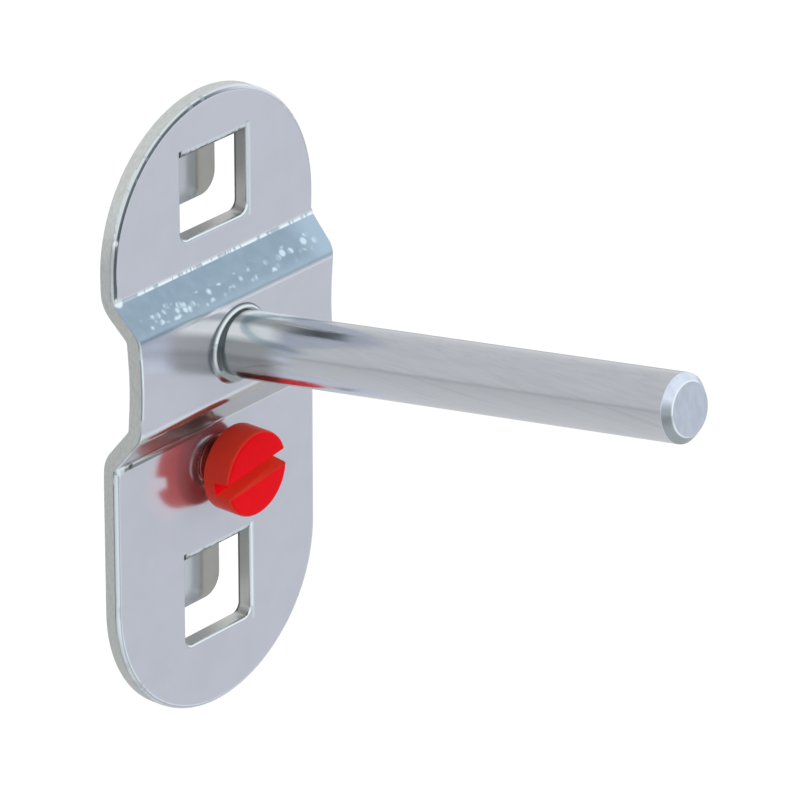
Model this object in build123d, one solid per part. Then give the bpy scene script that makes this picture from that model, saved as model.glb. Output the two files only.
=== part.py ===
from build123d import *
import math
import os

# Frame: the plate's flat back lies in the plane Y = 0, its front faces -Y, Z is up and
# X runs to the right as seen from the front. All lengths are millimetres.

# Sheet of the back plate
sheet_t = 1.5
plate_w = 26.2
plate_h = 58.0
bend_r = 0.6
edge_round = 0.45
band_edge_round = 0.2
draw_in = 0.6

# Middle band, pressed forward between two ramps; the back of each ramp has its middle at ramp_z
raise_d = 2.6
upper_ramp_z = 11.65
upper_ramp_angle = 45.0
lower_ramp_z = 0.3
lower_ramp_angle = 38.0
soft_bend_r = 3.0

# Windows, and the hook tongues lanced out of them
hook_pitch = 38.0
upper_top_z = 24.2
window_w = 8.7
upper_window_h = 7.8
lower_window_h = 8.5
window_corner_r = 0.9
window_edge_round = 0.28
lance_gap = 0.15
panel_gap = 2.1
neck_slope = 14.0
neck_edge_r = 0.5
neck_bend_r = 0.6
upper_drop = 6.5
lower_drop = 7.1
tongue_corner_r = 1.9

# Locking screw: a steel stud through a tapped hole, and the head moulded on it
screw_z = -5.6
stud_r = 2.42
stud_clearance = 0.08
stud_tip_chamfer = 0.4
stand_off = 1.7
spigot_r = 1.9
spigot_l = 1.0
spigot_gap = 0.02
head_r = 3.9
head_h = 2.95
head_round = 0.35
slot_w = 1.6
slot_floor_w = 1.2
slot_depth = 1.6
slot_angle = 7.5

# Peg, welded to the middle band
peg_z = 6.3
peg_r = 3.0
peg_length = 49.6
peg_slope = 9.5
peg_chamfer = 0.7
weld_foot_r = 3.65
weld_top_r = 3.3
weld_h = 0.38
neck_l = 1.1
neck_foot_r = 2.95
neck_top_r = 2.8

# How far a cutting shape reaches past what it cuts
cut_over = 5.0

# A face whose normal has its Y below this looks to the front
front_limit = -0.5

# Places that follow from the sizes above
band_front_y = -(sheet_t + raise_d)
upper_half_run = raise_d / 2 / math.tan(math.radians(upper_ramp_angle))
lower_half_run = raise_d / 2 / math.tan(math.radians(lower_ramp_angle))
upper_half_turn = math.tan(math.radians(upper_ramp_angle / 2))
lower_half_turn = math.tan(math.radians(lower_ramp_angle / 2))
upper_foot_z = upper_ramp_z + upper_half_run
lower_foot_z = lower_ramp_z - lower_half_run
lower_top_z = upper_top_z - hook_pitch
bore_r = stud_r + stud_clearance
head_seat_y = -(sheet_t + stand_off)


def rounded_strip(corners, radii):
    """Closed outline in the YZ plane whose corners are rounded by the given radii."""
    points = [Vector(0, y, z) for y, z in corners]
    face = make_face(Polyline(*points, close=True))
    for (y, z), radius in zip(corners, radii):
        if radius > 0:
            corner = face.vertices().sort_by_distance((0, y, z))[0]
            face = fillet(corner, radius)
    return face


def bent_sheet():
    """The sheet as bent, wider than the plate: flat, ramp, band, ramp, flat."""
    tall = plate_h
    upper_rise = sheet_t * upper_half_turn
    lower_rise = sheet_t * lower_half_turn
    back = [
        (0, tall),
        (0, upper_foot_z),
        (-raise_d, upper_ramp_z - upper_half_run),
        (-raise_d, lower_ramp_z + lower_half_run),
        (0, lower_foot_z),
        (0, -tall),
    ]
    front = [
        (-sheet_t, -tall),
        (-sheet_t, lower_foot_z - lower_rise),
        (band_front_y, lower_ramp_z + lower_half_run - lower_rise),
        (band_front_y, upper_ramp_z - upper_half_run + upper_rise),
        (-sheet_t, upper_foot_z + upper_rise),
        (-sheet_t, tall),
    ]
    crown = bend_r + sheet_t
    back_radii = [0, soft_bend_r, bend_r, bend_r, soft_bend_r, 0]
    front_radii = [0, bend_r, crown, crown, bend_r, 0]
    strip = rounded_strip(back + front, back_radii + front_radii)
    return extrude(strip, plate_w, dir=(1, 0, 0), both=True)


def drawn_side(x, high_z, low_z):
    """One side of the plate, which the pressing drew in beside the band."""
    inner_x = math.copysign(abs(x) - draw_in, x)
    return Spline(
        (x, high_z),
        (inner_x, (high_z + low_z) / 2),
        (x, low_z),
        tangents=((0, -1), (0, -1)),
    )


def outline_solid():
    """The plate's outline seen from the front: round ends, sides drawn in beside the band."""
    r = plate_w / 2
    end_z = plate_h / 2 - r
    low_z = upper_ramp_z + lower_ramp_z - end_z
    top = ThreePointArc((r, end_z), (0, plate_h / 2), (-r, end_z))
    left = drawn_side(-r, end_z, low_z)
    left_low = Line((-r, low_z), (-r, -end_z))
    bottom = ThreePointArc((-r, -end_z), (0, -plate_h / 2), (r, -end_z))
    right_low = Line((r, -end_z), (r, low_z))
    right = drawn_side(r, end_z, low_z)
    face = make_face([top, left, left_low, bottom, right_low, right])
    upright = Plane.XZ * face
    return extrude(upright, plate_w, both=True)


def round_front_edge(piece):
    """Rounds the outer edge of one flat end where the blanking punch rolled it over."""
    front = piece.faces().sort_by(Axis.Y)[0]
    edges = front.outer_wire().edges()
    return fillet(edges - edges.filter_by(Axis.X), edge_round)


def round_band_edges(piece):
    """Rounds the front edges of the band and its ramps, less than those of the flat ends."""
    fronts = piece.faces().filter_by(lambda f: f.normal_at(f.center()).Y < front_limit)
    edges = fronts.edges()
    return fillet(edges - edges.filter_by(Axis.X), band_edge_round)


def plate_blank():
    """The bent sheet trimmed to the outline and rounded along its front edge."""
    sheet = bent_sheet() & outline_solid()
    cut_up = upper_foot_z + (sheet_t + bend_r) * upper_half_turn
    cut_low = lower_foot_z - (sheet_t + bend_r) * lower_half_turn
    big = 2 * (plate_h + cut_over)
    above = Location((0, 0, cut_up + big / 2)) * Box(big, big, big)
    below = Location((0, 0, cut_low - big / 2)) * Box(big, big, big)
    top = round_front_edge((sheet & above).solid())
    bottom = round_front_edge((sheet & below).solid())
    middle = round_band_edges(((sheet - above) - below).solid())
    return (top + middle + bottom).clean()


def window_cut(top_z, height):
    """Opening left by one lanced tongue, its two lower corners rounded."""
    tall = height + neck_edge_r
    box = Box(window_w, sheet_t + 2 * cut_over, tall)
    lower = box.edges().filter_by(Axis.Y).group_by(Axis.Z)[0]
    middle_z = top_z + neck_edge_r - tall / 2
    return Location((0, -sheet_t / 2, middle_z)) * fillet(lower, window_corner_r)


def cut_window(plate, top_z, height):
    """Cuts one window and rounds its edge in front, by less where little metal is left round it."""
    opened = plate - window_cut(top_z, height)
    middle = (0, -sheet_t, top_z - height / 2)
    front = opened.faces().filter_by(Axis.Y).sort_by_distance(middle)[0]
    far_z = max(top_z + neck_edge_r, height - top_z)
    from_arc = far_z - (plate_h - plate_w) / 2
    wall = plate_w / 2 - edge_round - math.hypot(window_w / 2, from_arc)
    return fillet(front.inner_wires().edges(), min(window_edge_round, wall / 2))


def tongue(top_z, drop):
    """One hook: a neck runs back from the window's top edge, then turns down behind the panel."""
    fall = math.tan(math.radians(neck_slope))
    thick_z = sheet_t / math.cos(math.radians(neck_slope))
    root_z = top_z + 2 * sheet_t
    tip_z = top_z - drop
    back_y = panel_gap + sheet_t
    front = [
        (-sheet_t, root_z),
        (-sheet_t, top_z),
        (panel_gap, top_z - back_y * fall),
        (panel_gap, tip_z),
    ]
    back = [
        (back_y, tip_z),
        (back_y, top_z - (back_y + sheet_t) * fall + thick_z),
        (0, top_z - sheet_t * fall + thick_z),
        (0, root_z),
    ]
    radii = [0, neck_edge_r, neck_bend_r, 0, 0, neck_bend_r + sheet_t, neck_bend_r, 0]
    width = window_w - 2 * lance_gap
    bent = extrude(rounded_strip(front + back, radii), width / 2, dir=(1, 0, 0), both=True)
    tip = bent.edges().filter_by(Axis.Y).group_by(Axis.Z)[0]
    return fillet(tip, tongue_corner_r)


def back_plate():
    """Back plate: outline, joggle, two windows with their tongues, and the screw's hole."""
    plate = plate_blank()
    plate = cut_window(plate, upper_top_z, upper_window_h) + tongue(upper_top_z, upper_drop)
    plate = cut_window(plate, lower_top_z, lower_window_h) + tongue(lower_top_z, lower_drop)
    bore = Cylinder(bore_r, 2 * (sheet_t + cut_over)).rotate(Axis.X, 90)
    return (plate - Location((0, 0, screw_z)) * bore).clean()


def peg():
    """Round peg sloping up and out of the band, necked above the weld bead round its foot."""
    from_base = (Align.CENTER, Align.CENTER, Align.MIN)
    foot = Plane(origin=(0, band_front_y, peg_z), z_dir=(0, -1, 0))
    slope = math.radians(peg_slope)
    along = Vector(0, -math.cos(slope), math.sin(slope))
    neck_base = Plane(origin=foot.origin - along * peg_r, z_dir=along)
    neck = neck_base * Cone(neck_foot_r, neck_top_r, peg_r + neck_l, align=from_base)
    rod_base = Plane(origin=foot.origin + along * neck_l, z_dir=along)
    rod = rod_base * Cylinder(peg_r, peg_length - neck_l, align=from_base)
    tip = rod.edges().filter_by(GeomType.CIRCLE).sort_by(Axis.Y)[0]
    rod = chamfer(tip, peg_chamfer)
    bead = foot * Cone(weld_foot_r, weld_top_r, weld_h, align=from_base)
    shape = rod + neck + bead
    wide = 2 * (weld_foot_r + cut_over)
    behind = Box(wide, wide, wide, align=(Align.CENTER, Align.MIN, Align.CENTER))
    return (shape - Location((0, band_front_y, peg_z)) * behind).clean()


def screw_head():
    """Slotted plastic head, standing off the plate, with a blind hole for the stud's spigot."""
    hole_r = spigot_r + spigot_gap
    hole_l = spigot_l + spigot_gap
    profile = make_face(Polyline(
        (0, hole_l),
        (hole_r, hole_l),
        (hole_r, 0),
        (head_r, 0),
        (head_r, head_h),
        (0, head_h),
        close=True,
    ))
    rim = profile.vertices().sort_by_distance((head_r, head_h))[0]
    body = revolve(fillet(rim, head_round), Axis.Y)
    open_w = slot_w + (slot_w - slot_floor_w) * head_round / slot_depth
    slot = make_face(Polyline(
        (-slot_floor_w / 2, head_h - slot_depth),
        (slot_floor_w / 2, head_h - slot_depth),
        (open_w / 2, head_h + head_round),
        (-open_w / 2, head_h + head_round),
        close=True,
    ))
    body = body - extrude(slot, 2 * head_r, both=True).rotate(Axis.Y, 90)
    turned = body.rotate(Axis.X, 180).rotate(Axis.Y, -slot_angle)
    return Location((0, head_seat_y, screw_z)) * turned


def screw_stud():
    """Steel stud from the head to the panel's face, its thread left plain."""
    stud_l = stand_off + sheet_t
    profile = make_face(Polyline(
        (0, spigot_l),
        (spigot_r, spigot_l),
        (spigot_r, 0),
        (stud_r, 0),
        (stud_r, stud_tip_chamfer - stud_l),
        (stud_r - stud_tip_chamfer, -stud_l),
        (0, -stud_l),
        close=True,
    ))
    turned = revolve(profile, Axis.Y).rotate(Axis.X, 180)
    return Location((0, head_seat_y, screw_z)) * turned


os.makedirs("parts", exist_ok=True)
export_step(back_plate(), "parts/back_plate.step")
export_step(peg(), "parts/peg.step")
export_step(screw_head(), "parts/screw_head.step")
export_step(screw_stud(), "parts/screw_stud.step")
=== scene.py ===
import math
import bmesh
import bpy
import numpy as np
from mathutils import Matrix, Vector


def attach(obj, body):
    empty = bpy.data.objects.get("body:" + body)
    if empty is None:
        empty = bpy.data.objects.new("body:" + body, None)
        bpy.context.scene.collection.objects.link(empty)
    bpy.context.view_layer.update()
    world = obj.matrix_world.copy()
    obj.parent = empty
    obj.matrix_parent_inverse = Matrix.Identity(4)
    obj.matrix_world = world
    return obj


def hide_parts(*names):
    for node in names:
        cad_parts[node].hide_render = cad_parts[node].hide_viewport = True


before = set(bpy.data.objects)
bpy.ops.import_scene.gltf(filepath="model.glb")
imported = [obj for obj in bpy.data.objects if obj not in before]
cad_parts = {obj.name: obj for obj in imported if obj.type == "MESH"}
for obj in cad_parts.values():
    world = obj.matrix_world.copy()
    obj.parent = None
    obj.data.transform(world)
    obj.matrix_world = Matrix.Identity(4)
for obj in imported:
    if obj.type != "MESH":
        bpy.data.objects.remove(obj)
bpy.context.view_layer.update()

# Back plate
# A 1.5 mm steel sheet, blanked with round ends, pressed forward in its middle and lanced for
# its two hook tongues. It is bright zinc plated; its sheared edges stay matt, the rolled rims
# in front of them carry painted highlights and painted shade lines, and the press left rough
# specks along the upper ramp, with painted glints on them.
MM = 0.001
FACE_Y = -1.5
RAMP_Z = (9.8, 13.9)
LOW_RAMP_Z = (-3.2, 1.6)
BAND_Z = (0.6, 12.2)
BENDS = ((13.2, 13.95, 0.1), (9.2, 11.4, 0.3), (1.3, 3.2, 0.3), (-2.7, -1.9, 0.1))
CREASE_Z = 13.62
FOOT_LINE_Z = (-2.35, -2.12)
WINDOW_HALF = 4.35
WINDOWS_Z = ((16.4, 24.2), (-22.3, -13.8))
WINDOW_TOPS = tuple((top, top) for _, top in WINDOWS_Z)
SPECK_Z = 11.75
SPECK_PITCH = 1.45
# where the red head's painted reflection lies on the lower plate
RED_REFLECTION_PLACE = (-5.6, FACE_Y, -5.2)
RED_REFLECTION_R = 4.4
GLINT_SPOTS = (
    ((-12.70, FACE_Y, 19.10), 0.40),
    ((-12.54, FACE_Y, 13.65), 0.60),
    ((-12.55, FACE_Y, -2.10), 0.62),
    ((0.9, FACE_Y, 22.9), 0.3),
)
DARK_MARKS = (
    ((-12.83, FACE_Y, 19.53), 0.32),
    ((-11.60, -3.2, 0.50), 0.30),
    ((-11.00, -3.5, 1.00), 0.28),
    ((-11.30, FACE_Y, -2.10), 0.35),
)
MIRROR_LEAN = 0.205
ZINC_FACE = (0.722, 0.755, 0.865, 1.0)
ZINC_CLOUD = (0.690, 0.728, 0.823, 1.0)
ZINC_RED_REFLECTION = (0.805, 0.760, 0.860, 1.0)
ZINC_RAMP = (0.275, 0.380, 0.475, 1.0)
ZINC_RAMP_LIGHT = (0.305, 0.410, 0.505, 1.0)
ZINC_RAMP_END_SHEEN = (0.42, 0.56, 0.69, 1.0)
ZINC_LOW_RAMP = (0.430, 0.432, 0.410, 1.0)
ZINC_GLINT = (0.80, 0.90, 0.96, 1.0)
ZINC_SHEARED = (0.615, 0.640, 0.635, 1.0)
ZINC_TORN = (0.535, 0.562, 0.558, 1.0)
ZINC_RIM_HIGHLIGHT = (0.64, 0.71, 0.745, 1.0)
# dark pits and marks, and painted shade lines in bends, creases and rims
ZINC_DARK_MARK_AND_SHADE = (0.12, 0.15, 0.165, 1.0)
ZINC_SHADE = (0.36, 0.41, 0.44, 1.0)
ZINC_TONGUE = (0.620, 0.594, 0.518, 1.0)
ZINC_TONGUE_LEFT = (0.575, 0.620, 0.670, 1.0)
ZINC_WALL = (0.52, 0.525, 0.52, 1.0)
ZINC_WALL_LOW = (0.57, 0.58, 0.57, 1.0)
ZINC_SPECK_GLINT = (0.62, 0.78, 0.89, 1.0)


class Wire:
    """One output of a shader node. Sums and products written with it add the nodes they need."""

    def __init__(self, tree, socket):
        self.tree = tree
        self.socket = socket

    def node(self, kind, settings, inputs, out=0):
        """Adds a node: its settings first, then a value or a wire for each named socket."""
        made = self.tree.nodes.new(kind)
        for name, value in settings.items():
            if name == "stops":
                ramp = made.color_ramp.elements
                while len(ramp) < len(value):
                    ramp.new(0.5)
                for stop, (place, colour) in zip(ramp, value):
                    stop.position, stop.color = place, colour
            else:
                setattr(made, name, value)
        for name, value in inputs.items():
            if isinstance(value, Wire):
                self.tree.links.new(value.socket, made.inputs[name])
            else:
                made.inputs[name].default_value = value
        return Wire(self.tree, made.outputs[out])

    def math(self, operation, *terms):
        """A Math node, or a Vector Math node where this wire is a vector."""
        kind = "ShaderNodeVectorMath" if self.socket.type == "VECTOR" else "ShaderNodeMath"
        return self.node(kind, {"operation": operation}, dict(enumerate(terms)))

    def __add__(self, other):
        return self.math("ADD", self, other)

    def __radd__(self, other):
        return self.math("ADD", other, self)

    def __sub__(self, other):
        return self.math("SUBTRACT", self, other)

    def __rsub__(self, other):
        return self.math("SUBTRACT", other, self)

    def __mul__(self, other):
        return self.math("MULTIPLY", self, other)

    def __rmul__(self, other):
        return self.math("MULTIPLY", other, self)

    def __abs__(self):
        return self.math("ABSOLUTE", self)

    def sine(self):
        return self.math("SINE", self)

    def unit(self):
        """This vector at a length of 1."""
        return self.math("NORMALIZE", self)

    def larger(self, other):
        """The larger one of two values."""
        return self.math("MAXIMUM", self, other)

    def part(self, axis):
        """One coordinate of a vector: X, Y or Z."""
        return self.node("ShaderNodeSeparateXYZ", {}, {0: self}, axis)

    def vector(self, *parts):
        """A vector from three wires or numbers."""
        return self.node("ShaderNodeCombineXYZ", {}, dict(enumerate(parts)))

    def reach(self, direction):
        """How far this vector reaches along a direction: their dot product."""
        settings = {"operation": "DOT_PRODUCT"}
        return self.node("ShaderNodeVectorMath", settings, {0: self, 1: direction}, "Value")

    def step(self, start, end):
        """0 at start and 1 at end, with a smooth rise between them."""
        settings = {"interpolation_type": "SMOOTHSTEP"}
        return self.node("ShaderNodeMapRange", settings, {"Value": self, 1: start, 2: end})

    def between(self, low, high, soft):
        """1 from low to high, falling to 0 within soft outside them."""
        return self.step(low - soft, low) * self.step(high + soft, high)

    def in_rows(self, rows, below, above, soft):
        """1 within any of the rows, each one widened by below and above, and 0 outside them."""
        return sum(self.between(low - below, high + above, soft) for low, high in rows)

    def blend(self, first, second):
        """Mixes two colours with this wire as the share of the second."""
        return self.node("ShaderNodeMix", {"data_type": "RGBA"}, {0: self, 6: first, 7: second}, 2)

    def tints(self, *stops):
        """A colour for each place from 0 to 1, with even changes between the stops."""
        return self.node("ShaderNodeValToRGB", {"stops": stops}, {"Fac": self})

    def noise(self, scale, detail=2.0, rough=0.5):
        """Cloudy noise over this wire's vector, about 0.5."""
        sockets = {"Vector": self, "Scale": scale, "Detail": detail, "Roughness": rough}
        return self.node("ShaderNodeTexNoise", {}, sockets)

    def dots(self, scale, start, end):
        """Scattered round dots, where the distance to the nearest one falls from start to end."""
        near = self.node("ShaderNodeTexVoronoi", {}, {"Vector": self, "Scale": scale}, "Distance")
        return near.step(start, end)

    def spot(self, centre, radius):
        """1 near one point of this wire's place, and 0 farther off than radius."""
        away = self.node("ShaderNodeVectorMath", {"operation": "DISTANCE"}, {0: self, 1: centre}, "Value")
        return away.step(radius, radius * 0.55)

    def bump(self, strength, normal=None):
        """A normal shaded by this height in millimetres, over another normal where one is given."""
        sockets = {"Strength": strength, "Distance": MM, "Height": self}
        if normal is not None:
            sockets["Normal"] = normal
        return self.node("ShaderNodeBump", {}, sockets, "Normal")


def new_finish(name, metallic):
    """A material with its Principled shader, its place in millimetres and its own normal."""
    finish = bpy.data.materials.new(name)
    finish.use_nodes = True
    tree = finish.node_tree
    shader = next(n for n in tree.nodes if n.type == "BSDF_PRINCIPLED")
    shader.inputs["Metallic"].default_value = metallic
    coords = tree.nodes.new("ShaderNodeTexCoord")
    place = Wire(tree, coords.outputs["Object"]) * (1 / MM, 1 / MM, 1 / MM)
    return finish, shader, place, Wire(tree, coords.outputs["Normal"])


def plug(shader, **wires):
    """Links wires to the shader's sockets; an underscore stands for a space."""
    for name, wire in wires.items():
        wire.tree.links.new(wire.socket, shader.inputs[name.replace("_", " ")])


zinc, zinc_shader, at, facing = new_finish("bright_zinc_sheet", 0.9)
x, y, z = at.part("X"), at.part("Y"), at.part("Z")
toward_front, up = facing.part("Y"), facing.part("Z")
flatness = abs(toward_front)
cloud = at.noise(0.35, 3.0)
grain = (at * (5.0, 0.7, 5.0)).noise(1.0, 4.0, 0.6)
torn = (at * (2.2, 6.0, 2.2)).noise(1.0, 3.0, 0.6)
break_up = (at * (1.0, 0.2, 0.2)).noise(1.1, 3.0, 0.65)
wobble = at.noise(0.9, 2.0)

# the sheet's regions
front = toward_front.step(0.02, -0.05)
behind = y.step(0.2, 0.6)
sheared = flatness.step(0.12, 0.03)
low_end = z.step(-1.0, -3.0)
on_band = z.between(*BAND_Z, 0.6)
on_ramp = up.step(0.09, 0.27) * front * z.between(*RAMP_Z, 0.3)
on_low_ramp = up.step(-0.12, -0.40) * front * z.between(*LOW_RAMP_Z, 0.3) * abs(x).step(13.0, 12.7)
inside_window = abs(x).step(WINDOW_HALF + 0.35, WINDOW_HALF + 0.2) * z.in_rows(WINDOWS_Z, 0.6, 0.8, 0.3)
neck_bend = abs(x).step(4.3, 4.15) * up.step(-0.02, -0.08) * front * inside_window

# painted highlights and shade lines on the rims in front of the sheared edges, coloured from the side of
# the sheet to its face
rim_sheen_up = flatness.tints(
    (0.10, ZINC_SHEARED), (0.20, ZINC_SHADE), (0.30, ZINC_RIM_HIGHLIGHT), (0.66, ZINC_RIM_HIGHLIGHT),
    (0.78, ZINC_DARK_MARK_AND_SHADE), (0.980, ZINC_DARK_MARK_AND_SHADE), (0.996, ZINC_FACE),
)
rim_sheen_band = flatness.tints((0.08, ZINC_SHADE), (0.62, ZINC_SHADE), (0.74, ZINC_GLINT), (0.99, ZINC_GLINT))
rim_sheen_low = flatness.tints(
    (0.02, ZINC_DARK_MARK_AND_SHADE), (0.12, ZINC_DARK_MARK_AND_SHADE), (0.22, ZINC_RIM_HIGHLIGHT), (0.55, ZINC_GLINT),
    (0.80, ZINC_GLINT), (0.90, ZINC_SHADE), (0.995, ZINC_FACE),
)
rim_sheen_window = flatness.tints(
    (0.05, ZINC_DARK_MARK_AND_SHADE), (0.22, ZINC_RIM_HIGHLIGHT), (0.80, ZINC_GLINT), (0.93, ZINC_SHADE), (0.995, ZINC_FACE)
)
rim_sheen_arc = flatness.tints(
    (0.10, ZINC_SHEARED), (0.30, ZINC_SHADE), (0.45, ZINC_RIM_HIGHLIGHT), (0.75, ZINC_RIM_HIGHLIGHT),
    (0.88, ZINC_SHADE), (0.98, ZINC_FACE),
)
rim_sheen = low_end.blend(on_band.blend(rim_sheen_up, rim_sheen_band), z.step(-16.0, -20.0).blend(rim_sheen_low, rim_sheen_arc))
rim_sheen = (break_up.step(0.52, 0.66) * 0.7).blend(rim_sheen, ZINC_SHADE)
rim_sheen = (x.step(-2.0, 5.0) * 0.85).blend(rim_sheen, ZINC_FACE)
rim_sheen = inside_window.blend(rim_sheen, rim_sheen_window)
past_bend = sum(z.between(*bend) for bend in BENDS)
side = flatness.step(0.997, 0.988) * (1.0 - on_ramp) * (1.0 - on_low_ramp) * (1.0 - neck_bend)
side = side * (y * -1.0).step(-0.1, 0.2) * (1.0 - behind) * toward_front.step(0.25, 0.08)
side = side * (1.0 - past_bend * abs(x).step(12.75, 12.6))

# what the press left and the light on it: rough specks on the ramp with painted glints,
# painted glints along its crease, painted shade and highlight lines at the windows' tops,
# a dark line on the windows' walls, and painted shade at the lower ramp's foot
speck_turn = x * (math.tau / SPECK_PITCH) + wobble * 5.0
speck_place = z - SPECK_Z - x * 0.02 + (wobble - 0.5) * 1.8
specks = speck_place.between(-0.25, 0.25, 0.30) * speck_turn.sine().step(-1.6, 0.2)
specks = specks * at.dots(1.2, 0.56, 0.26) * on_ramp * abs(x).step(11.8, 10.8)
crease = z.between(CREASE_Z - 0.12, CREASE_Z + 0.12, 0.08) * front * flatness.step(0.60, 0.72)
glints = crease * (at * (1.0, 0.2, 0.2)).noise(1.3, 3.0, 0.6).step(0.47, 0.56)
window_rows = z.in_rows(WINDOWS_Z, 0.2, 0.4, 0.25)
window_glint = x.between(4.50, 4.70, 0.10) * window_rows * front * flatness.step(0.5, 0.9)
ragged = z + (torn - 0.5) * 0.25
# painted shade along the top of each window under the tongue's bend, with a painted highlight just above
# it
neck_shade_line = ragged.in_rows(WINDOW_TOPS, 0.40, 0.20, 0.06) * abs(x).step(4.35, 4.25) * front
neck_shade_line = neck_shade_line * (y * -1.0).step(0.5, 0.8) * (1.0 - behind)
neck_highlight = ragged.in_rows(WINDOW_TOPS, -0.30, 0.54, 0.06) * abs(x).step(4.4, 4.2) * front
neck_highlight = neck_highlight * break_up.step(0.35, 0.5)
wall_line = sheared * inside_window * y.step(-0.24, -0.12) * x.step(3.6, 4.0)
# painted shade in the crease at the foot of the lower ramp
foot_crease_shade = z.between(*FOOT_LINE_Z, 0.08) * front * abs(x).step(13.1, 13.0) * x.step(2.0, -8.0)

# the colours, laid one over another
colour = cloud.step(0.3, 0.7).blend(ZINC_FACE, ZINC_CLOUD)
# painted reflection of the red head: a pinkish glow on the face to the left of the screw
colour = (at.spot(RED_REFLECTION_PLACE, RED_REFLECTION_R) * front).blend(colour, ZINC_RED_REFLECTION)
# the upper ramp is darker and bluer than the face: the passivation's blue tint with painted reflection of
# a dim surround, lighter towards its lower and right ends as painted sheen
colour = on_ramp.blend(colour, wobble.step(0.3, 0.7).blend(ZINC_RAMP, ZINC_RAMP_LIGHT))
ramp_end_sheen = (z.step(11.5, 10.4) * 0.7).larger(x.step(8.5, 12.0))
colour = (on_ramp * ramp_end_sheen * 0.8).blend(colour, ZINC_RAMP_END_SHEEN)
# painted shade: the lower ramp, which faces down, is a duller grey than the face
colour = on_low_ramp.blend(colour, ZINC_LOW_RAMP)
colour = (behind * front).blend(colour, x.step(2.0, 1.2).blend(ZINC_TONGUE, ZINC_TONGUE_LEFT))
colour = side.blend(colour, rim_sheen)
colour = sheared.blend(colour, torn.step(0.35, 0.65).blend(ZINC_SHEARED, ZINC_TORN))
colour = (sheared * inside_window).blend(colour, low_end.blend(ZINC_WALL, ZINC_WALL_LOW))
# painted shade and dark lines across the tongue's bend
neck_bend_shade = abs(up).tints((0.05, ZINC_SHADE), (0.22, ZINC_DARK_MARK_AND_SHADE), (0.34, ZINC_FACE), (0.50, ZINC_DARK_MARK_AND_SHADE))
colour = neck_bend.blend(colour, neck_bend_shade)
colour = neck_shade_line.blend(colour, ZINC_DARK_MARK_AND_SHADE)
colour = wall_line.blend(colour, ZINC_DARK_MARK_AND_SHADE)
colour = (neck_highlight * 0.8).blend(colour, ZINC_GLINT)
colour = window_glint.blend(colour, ZINC_GLINT)
# the rough specks on the upper ramp, lit with painted glints
colour = specks.blend(colour, ZINC_SPECK_GLINT)
colour = (crease * 0.30).blend(colour, ZINC_GLINT)
colour = glints.blend(colour, ZINC_GLINT)
colour = (foot_crease_shade * 0.7).blend(colour, ZINC_DARK_MARK_AND_SHADE)
# painted highlights: a few small glints on the sheet's edges
for centre, radius in GLINT_SPOTS:
    colour = at.spot(centre, radius).blend(colour, ZINC_GLINT)
for centre, radius in DARK_MARKS:
    colour = at.spot(centre, radius).blend(colour, ZINC_DARK_MARK_AND_SHADE)

gloss = 0.15 + sheared * 0.27 + on_ramp * 0.08 + (cloud - 0.5) * 0.04
height = grain * sheared * 0.030 + specks * 0.006
lean = flatness.step(0.985, 0.9995) * front * (1.0 - behind)
leaned = (facing + facing.vector(0.0, 0.0, lean * MIRROR_LEAN)).unit()
plug(zinc_shader, Base_Color=colour, Roughness=gloss, Normal=height.bump(0.6, leaned))
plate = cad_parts["back_plate"]
plate.data.materials[0] = zinc

# Peg
# A 6 mm drawn steel rod, cut off and bevelled at its end, and welded to the band with a low
# bead so that it slopes upwards. It is zinc plated with the plate.
PEG_FOOT = (0.0, -4.1, 6.3)
PEG_ALONG = (0.0, -0.98629, 0.16505)
PEG_LENGTH = 49.6
BEAD_TOP = 0.38
GROOVE = (0.30, 0.95)
BEVEL = 0.7
ROD_ACROSS = (0.515, 0.1415, 0.8455)
BEVEL_SHADE_SIDE = (-0.8, 0.0, -0.6)
ZINC_ROD = (0.470, 0.492, 0.528, 1.0)
ZINC_ROD_DULL = (0.435, 0.458, 0.495, 1.0)
ZINC_ROD_UNDER_SHEEN = (0.640, 0.668, 0.715, 1.0)
ZINC_END = (0.696, 0.777, 0.920, 1.0)
ZINC_END_DULL = (0.640, 0.712, 0.840, 1.0)
ZINC_BEVEL_SHADE = (0.326, 0.37, 0.40, 1.0)
ZINC_GROOVE_SHADE = (0.19, 0.22, 0.23, 1.0)
FOOT_DARK = (0.20, 0.21, 0.20, 1.0)
FOOT_GREY = (0.40, 0.40, 0.38, 1.0)
FOOT_SHADE = (0.355, 0.365, 0.34, 1.0)
FOOT_BRIGHT = (0.88, 0.89, 0.83, 1.0)
FOOT_PALE = (0.84, 0.85, 0.79, 1.0)
FOOT_BAND = (0.40, 0.42, 0.40, 1.0)
FOOT_TOP = (0.92, 0.94, 0.88, 1.0)

rod_zinc, rod_shader, at, facing = new_finish("bright_zinc_rod", 0.93)
off_foot = at - PEG_FOOT
along = off_foot.reach(PEG_ALONG)
end_on = facing.reach(PEG_ALONG)
drawn = (at * (2.6, 0.10, 2.6)).noise(1.0, 3.0, 0.6)
marks = (at * (1.0, 0.03, 6.0)).noise(1.6, 2.0, 0.5)
colour = drawn.step(0.35, 0.7).blend(ZINC_ROD, ZINC_ROD_DULL)
# painted sheen: the rod is lighter on its underside
colour = facing.part("Z").step(0.26, 0.12).blend(colour, ZINC_ROD_UNDER_SHEEN)

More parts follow.
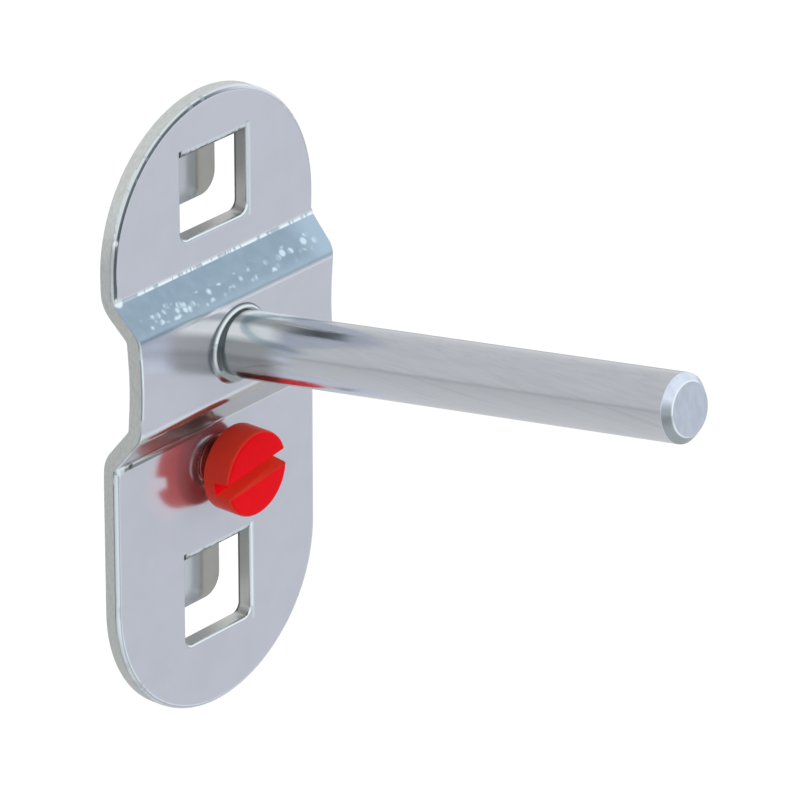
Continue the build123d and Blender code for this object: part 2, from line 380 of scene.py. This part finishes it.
# painted reflection: the rod's foot is tinted in long stripes of the ramp and the band it mirrors
foot_reflection = (facing.reach(ROD_ACROSS) * 0.5 + 0.5).tints(
    (0.05, FOOT_DARK), (0.16, FOOT_GREY), (0.45, FOOT_SHADE), (0.56, FOOT_BRIGHT),
    (0.70, FOOT_PALE), (0.77, FOOT_BAND), (0.85, FOOT_BAND), (0.90, FOOT_TOP),
)
colour = along.step(8.0, 5.0).blend(colour, foot_reflection)
colour = (marks.step(0.60, 0.66) * 0.25).blend(colour, ZINC_SHADE)

# the cut end, its bevel with painted shade on its lower left, and a painted highlight along the lip
# between them
tip = along.step(PEG_LENGTH - BEVEL - 0.12, PEG_LENGTH - BEVEL)
smear = (at * (1.6, 1.0, 0.7)).noise(1.0, 2.0)
colour = tip.blend(colour, smear.step(0.35, 0.65).blend(ZINC_END, ZINC_END_DULL))
shaded = facing.reach(BEVEL_SHADE_SIDE).step(0.12, 0.38) * end_on.between(0.2, 0.92, 0.05)
colour = (shaded * tip).blend(colour, ZINC_BEVEL_SHADE)
lip_highlight = along.step(PEG_LENGTH - 0.16, PEG_LENGTH - 0.04) * end_on.step(0.97, 0.9)
colour = lip_highlight.blend(colour, ZINC_GLINT)

# the weld bead, painted in rings of highlight and shade and darker towards its bottom, and painted shade
# in the groove between it and the rod
groove_shade = along.between(*GROOVE, 0.15) * end_on.step(-0.3, 0.0)
off_band = off_foot.part("Y") * -1.0
bead = off_band.step(BEAD_TOP + 0.02, BEAD_TOP - 0.01)
colour = (groove_shade * (1.0 - bead)).blend(colour, ZINC_GROOVE_SHADE)
bead_highlight_and_shade = off_band.tints(
    (0.02, ZINC_DARK_MARK_AND_SHADE), (0.09, ZINC_DARK_MARK_AND_SHADE), (0.15, ZINC_SHADE), (0.22, ZINC_RIM_HIGHLIGHT),
    (0.27, ZINC_GLINT), (0.32, ZINC_RIM_HIGHLIGHT), (0.38, ZINC_SHADE),
)
bead_highlight_and_shade = at.part("Z").step(6.5, 4.0).blend(bead_highlight_and_shade, ZINC_SHADE)
colour = bead.blend(colour, bead_highlight_and_shade)
gloss = 0.17 + (drawn - 0.5) * 0.08 + tip * 0.06
height = drawn * 0.004 + marks * 0.004 + (bead * at.noise(2.2, 2.0)) * 0.12
plug(rod_shader, Base_Color=colour, Roughness=gloss, Normal=height.bump(0.6))
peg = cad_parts["peg"]
peg.data.materials[0] = rod_zinc

# Stud of the locking screw
# A zinc plated steel stud with an M5 thread, turned through the tapped hole until its end bears
# on the panel. The head is moulded on its plain spigot.
SCREW_Z = -5.6
HEAD_SEAT_Y = -3.2
THREAD_R = 2.42
THREAD_ROOT = 1.92
THREAD_PITCH = 0.8
TOOTH_CREST = 1.45
TOOTH_FLANK = 3.4
TIP_FADE = 0.45
HEAD_FADE = 0.25
SPIGOT_R = 1.9
SPIGOT_L = 1.0
AROUND = 120
ALONG = 260
ZINC_THREAD = (0.66, 0.66, 0.60, 1.0)
ZINC_THREAD_WORN = (0.52, 0.52, 0.47, 1.0)
THREAD_RED_REFLECTION = (0.40, 0.12, 0.10, 1.0)
THREAD_RED_REFLECTION_Y = (-2.45, -1.45)
THREAD_HIGHLIGHT = (1.0, 0.98, 0.90, 1.0)
THREAD_HIGHLIGHT_Y = (-2.50, -2.75)


def screw_thread(name, y_back, y_front):
    """Closed solid of r = root + (crest - root) * tooth((y / pitch + turn) mod 1), faded at both ends."""
    y = np.linspace(y_back, y_front, ALONG)[:, None]
    turn = np.arange(AROUND)[None, :] / AROUND
    phase = (y / THREAD_PITCH + turn) % 1.0
    tooth = np.clip(TOOTH_CREST - TOOTH_FLANK * np.abs(phase - 0.5), 0.0, 1.0)
    tip_fade = np.clip((y_back - y) / TIP_FADE, 0.0, 1.0)
    head_fade = np.clip((y - HEAD_SEAT_Y) / HEAD_FADE, 0.0, 1.0)
    r = THREAD_ROOT + (THREAD_R - THREAD_ROOT) * tooth * tip_fade * head_fade
    r = np.where(y < HEAD_SEAT_Y, SPIGOT_R, r)
    angle = math.tau * turn
    ring = np.stack([r * np.cos(angle), np.broadcast_to(y, r.shape), SCREW_Z + r * np.sin(angle)], -1)
    ends = np.array([[0.0, y_back, SCREW_Z], [0.0, y_front, SCREW_Z]])
    points = np.vstack([ring.reshape(-1, 3), ends]) * MM
    i, j = np.meshgrid(np.arange(ALONG - 1), np.arange(AROUND), indexing="ij")
    k = (j + 1) % AROUND
    quads = np.stack([i * AROUND + j, (i + 1) * AROUND + j, (i + 1) * AROUND + k, i * AROUND + k], -1)
    first = np.arange(AROUND)
    after = (first + 1) % AROUND
    last = (ALONG - 1) * AROUND
    back = np.stack([np.full(AROUND, AROUND * ALONG), first, after], -1)
    front = np.stack([np.full(AROUND, AROUND * ALONG + 1), last + after, last + first], -1)
    faces = quads.reshape(-1, 4).tolist() + back.tolist() + front.tolist()
    mesh = bpy.data.meshes.new(name)
    mesh.from_pydata(points.tolist(), [], faces)
    mesh.validate()
    mesh.shade_smooth()
    return mesh


stud_zinc, stud_shader, at, facing = new_finish("zinc_thread", 0.93)
worn = at.noise(1.4, 3.0)
colour = worn.blend(ZINC_THREAD, ZINC_THREAD_WORN)
# painted reflection of the red head on the thread near the plate
colour = at.part("Y").between(*THREAD_RED_REFLECTION_Y, 0.3).blend(colour, THREAD_RED_REFLECTION)
# painted highlight: the thread is near white next to the head, where it lies in the head's shade
colour = at.part("Y").step(*THREAD_HIGHLIGHT_Y).blend(colour, THREAD_HIGHLIGHT)
plug(stud_shader, Base_Color=colour, Roughness=0.2 + worn * 0.12)
thread_mesh = screw_thread("screw_thread", 0.0, HEAD_SEAT_Y - SPIGOT_L)
thread_mesh.materials.append(stud_zinc)
thread = bpy.data.objects.new("screw_thread", thread_mesh)
bpy.context.scene.collection.objects.link(thread)
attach(thread, "locking_screw")
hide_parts("screw_stud")

# Head of the locking screw
# A slotted head of glossy red plastic, moulded onto the stud's spigot. Its rear edge is slightly
# round, so that it clears the foot of the lower ramp when the screw is turned home.
EDGE_SOFT = 0.20
EDGE_STEPS = 3
EDGE_ANGLE = 35.0
FLAT_ANGLE = 1.0
SEAT_SLACK = 0.01
MERGE = 0.001
RED = (0.745, 0.002, 0.009, 1.0)
RED_DEEP = (0.700, 0.002, 0.007, 1.0)
RED_SIDE_SHEEN = (0.740, 0.044, 0.025, 1.0)
RED_MIRROR = 0.05

red, red_shader, at, facing = new_finish("moulded_red_plastic", 0.0)
mottle = at.noise(0.8, 3.0)
colour = (mottle.step(0.3, 0.7) * 0.6).blend(RED, RED_DEEP)
# painted sheen: the head's sides and slot walls, all that does not face the front, are a more orange red
colour = facing.part("Y").step(-0.85, -0.6).blend(colour, RED_SIDE_SHEEN)
skin = at.noise(7.0, 3.0) * 0.006
plug(red_shader, Base_Color=colour, Roughness=0.30 + mottle * 0.12, Normal=skin.bump(0.5))
red_shader.inputs["Specular IOR Level"].default_value = RED_MIRROR


def on_rear_edge(corner):
    """True for a corner at the back of the head that lies farther out than the stud."""
    from_axis = math.hypot(corner.co.x, corner.co.z - SCREW_Z * MM)
    return corner.co.y > (HEAD_SEAT_Y - SEAT_SLACK) * MM and from_axis > THREAD_R * MM


head_shape = bmesh.new()
head_shape.from_mesh(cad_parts["screw_head"].data)
bmesh.ops.remove_doubles(head_shape, verts=head_shape.verts, dist=MERGE * MM)
bmesh.ops.dissolve_limit(
    head_shape, angle_limit=math.radians(FLAT_ANGLE), verts=head_shape.verts, edges=head_shape.edges
)
rear_edge = [edge for edge in head_shape.edges if all(on_rear_edge(corner) for corner in edge.verts)]
bmesh.ops.bevel(
    head_shape, geom=rear_edge, offset=EDGE_SOFT * MM, segments=EDGE_STEPS, profile=0.5,
    affect="EDGES", clamp_overlap=False,
)
bmesh.ops.recalc_face_normals(head_shape, faces=head_shape.faces)
head_mesh = bpy.data.meshes.new("moulded_head")
head_shape.to_mesh(head_mesh)
head_shape.free()
head_mesh.shade_smooth()
head_mesh.set_sharp_from_angle(angle=math.radians(EDGE_ANGLE))
head_mesh.materials.append(red)
head = bpy.data.objects.new("moulded_head", head_mesh)
bpy.context.scene.collection.objects.link(head)
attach(head, "locking_screw")
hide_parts("screw_head")

# Studio
# A pale floor well below the held part, white all round it, and two soft lamps that light the
# part without being mirrored in its metal.
FLOOR_Z = -0.45
FLOOR_HALF = 6.0
FLOOR_GREY = (0.8, 0.8, 0.8, 1.0)
FLOOR_SEEN = 0.57
FLOOR_MIRRORED = 0.2
WHITE = (1.0, 1.0, 1.0, 1.0)
WORLD_LIGHT = 0.5

floor_mesh = bpy.data.meshes.new("studio_floor")
corners = FLOOR_HALF * np.array([[-1, -1, 0], [1, -1, 0], [1, 1, 0], [-1, 1, 0]]) + [0, 0, FLOOR_Z]
floor_mesh.from_pydata(corners.tolist(), [], [(0, 1, 2, 3)])
floor = bpy.data.objects.new("studio_floor", floor_mesh)
bpy.context.scene.collection.objects.link(floor)

pale = bpy.data.materials.new("pale_floor")
pale.use_nodes = True
tree = pale.node_tree
floor_shader = next(n for n in tree.nodes if n.type == "BSDF_PRINCIPLED")
floor_shader.inputs["Base Color"].default_value = FLOOR_GREY
floor_shader.inputs["Roughness"].default_value = 0.9
floor_shader.inputs["Emission Color"].default_value = WHITE
path = tree.nodes.new("ShaderNodeLightPath")
seen, mirrored = (Wire(tree, path.outputs[n]) for n in ("Is Camera Ray", "Is Glossy Ray"))
glow = seen * FLOOR_SEEN + mirrored * FLOOR_MIRRORED
tree.links.new(glow.socket, floor_shader.inputs["Emission Strength"])
floor_mesh.materials.append(pale)

# white for the camera and for what metal or glass shows, dimmer as light
world = bpy.data.worlds.new("white_studio")
bpy.context.scene.world = world
world.use_nodes = True
tree = world.node_tree
background = next(n for n in tree.nodes if n.type == "BACKGROUND")
background.inputs["Color"].default_value = WHITE
path = tree.nodes.new("ShaderNodeLightPath")
seen, mirrored, through = (
    Wire(tree, path.outputs[n]) for n in ("Is Camera Ray", "Is Glossy Ray", "Is Transmission Ray")
)
level = WORLD_LIGHT + seen.larger(mirrored).larger(through) * (1.0 - WORLD_LIGHT)
tree.links.new(level.socket, background.inputs["Strength"])


def soft_lamp(name, direction, distance, size, power):
    """A square area lamp, set off along a direction from the part and turned towards it."""
    data = bpy.data.lights.new(name, "AREA")
    data.shape, data.size, data.energy = "SQUARE", size, power
    lamp = bpy.data.objects.new(name, data)
    bpy.context.scene.collection.objects.link(lamp)
    away = Vector(direction).normalized()
    lamp.location = away * distance
    lamp.rotation_euler = away.to_track_quat("Z", "Y").to_euler()
    lamp.visible_glossy = False


soft_lamp("key_lamp", (0.10, -0.93, 0.34), 1.0, 0.45, 6.2)
soft_lamp("fill_lamp", (-0.9, -0.2, 0.35), 1.2, 0.6, 0.4)

# Camera
# It looks at the part from the left and above, as the photograph does, through a long lens
# from about two thirds of a metre.
CAMERA_BACK = Vector((-0.6990, -0.5792, 0.4195))
CAMERA_RIGHT = Vector((0.6380, -0.7700, 0.0))
CAMERA_UP = Vector((0.3230, 0.2676, 0.9078))
CAMERA_FAR = 662.0
CAMERA_ASIDE = 17.03
CAMERA_DROP = 0.286
LENS = 343.5
SENSOR = 36.0

camera_data = bpy.data.cameras.new("photo_camera")
camera_data.lens = LENS
camera_data.sensor_width = SENSOR
camera = bpy.data.objects.new("photo_camera", camera_data)
bpy.context.scene.collection.objects.link(camera)
camera.location = (CAMERA_BACK * CAMERA_FAR + CAMERA_RIGHT * CAMERA_ASIDE - CAMERA_UP * CAMERA_DROP) * MM
camera.rotation_euler = CAMERA_BACK.to_track_quat("Z", "Y").to_euler()
bpy.context.scene.camera = camera
bpy.context.scene.view_settings.view_transform = "Standard"
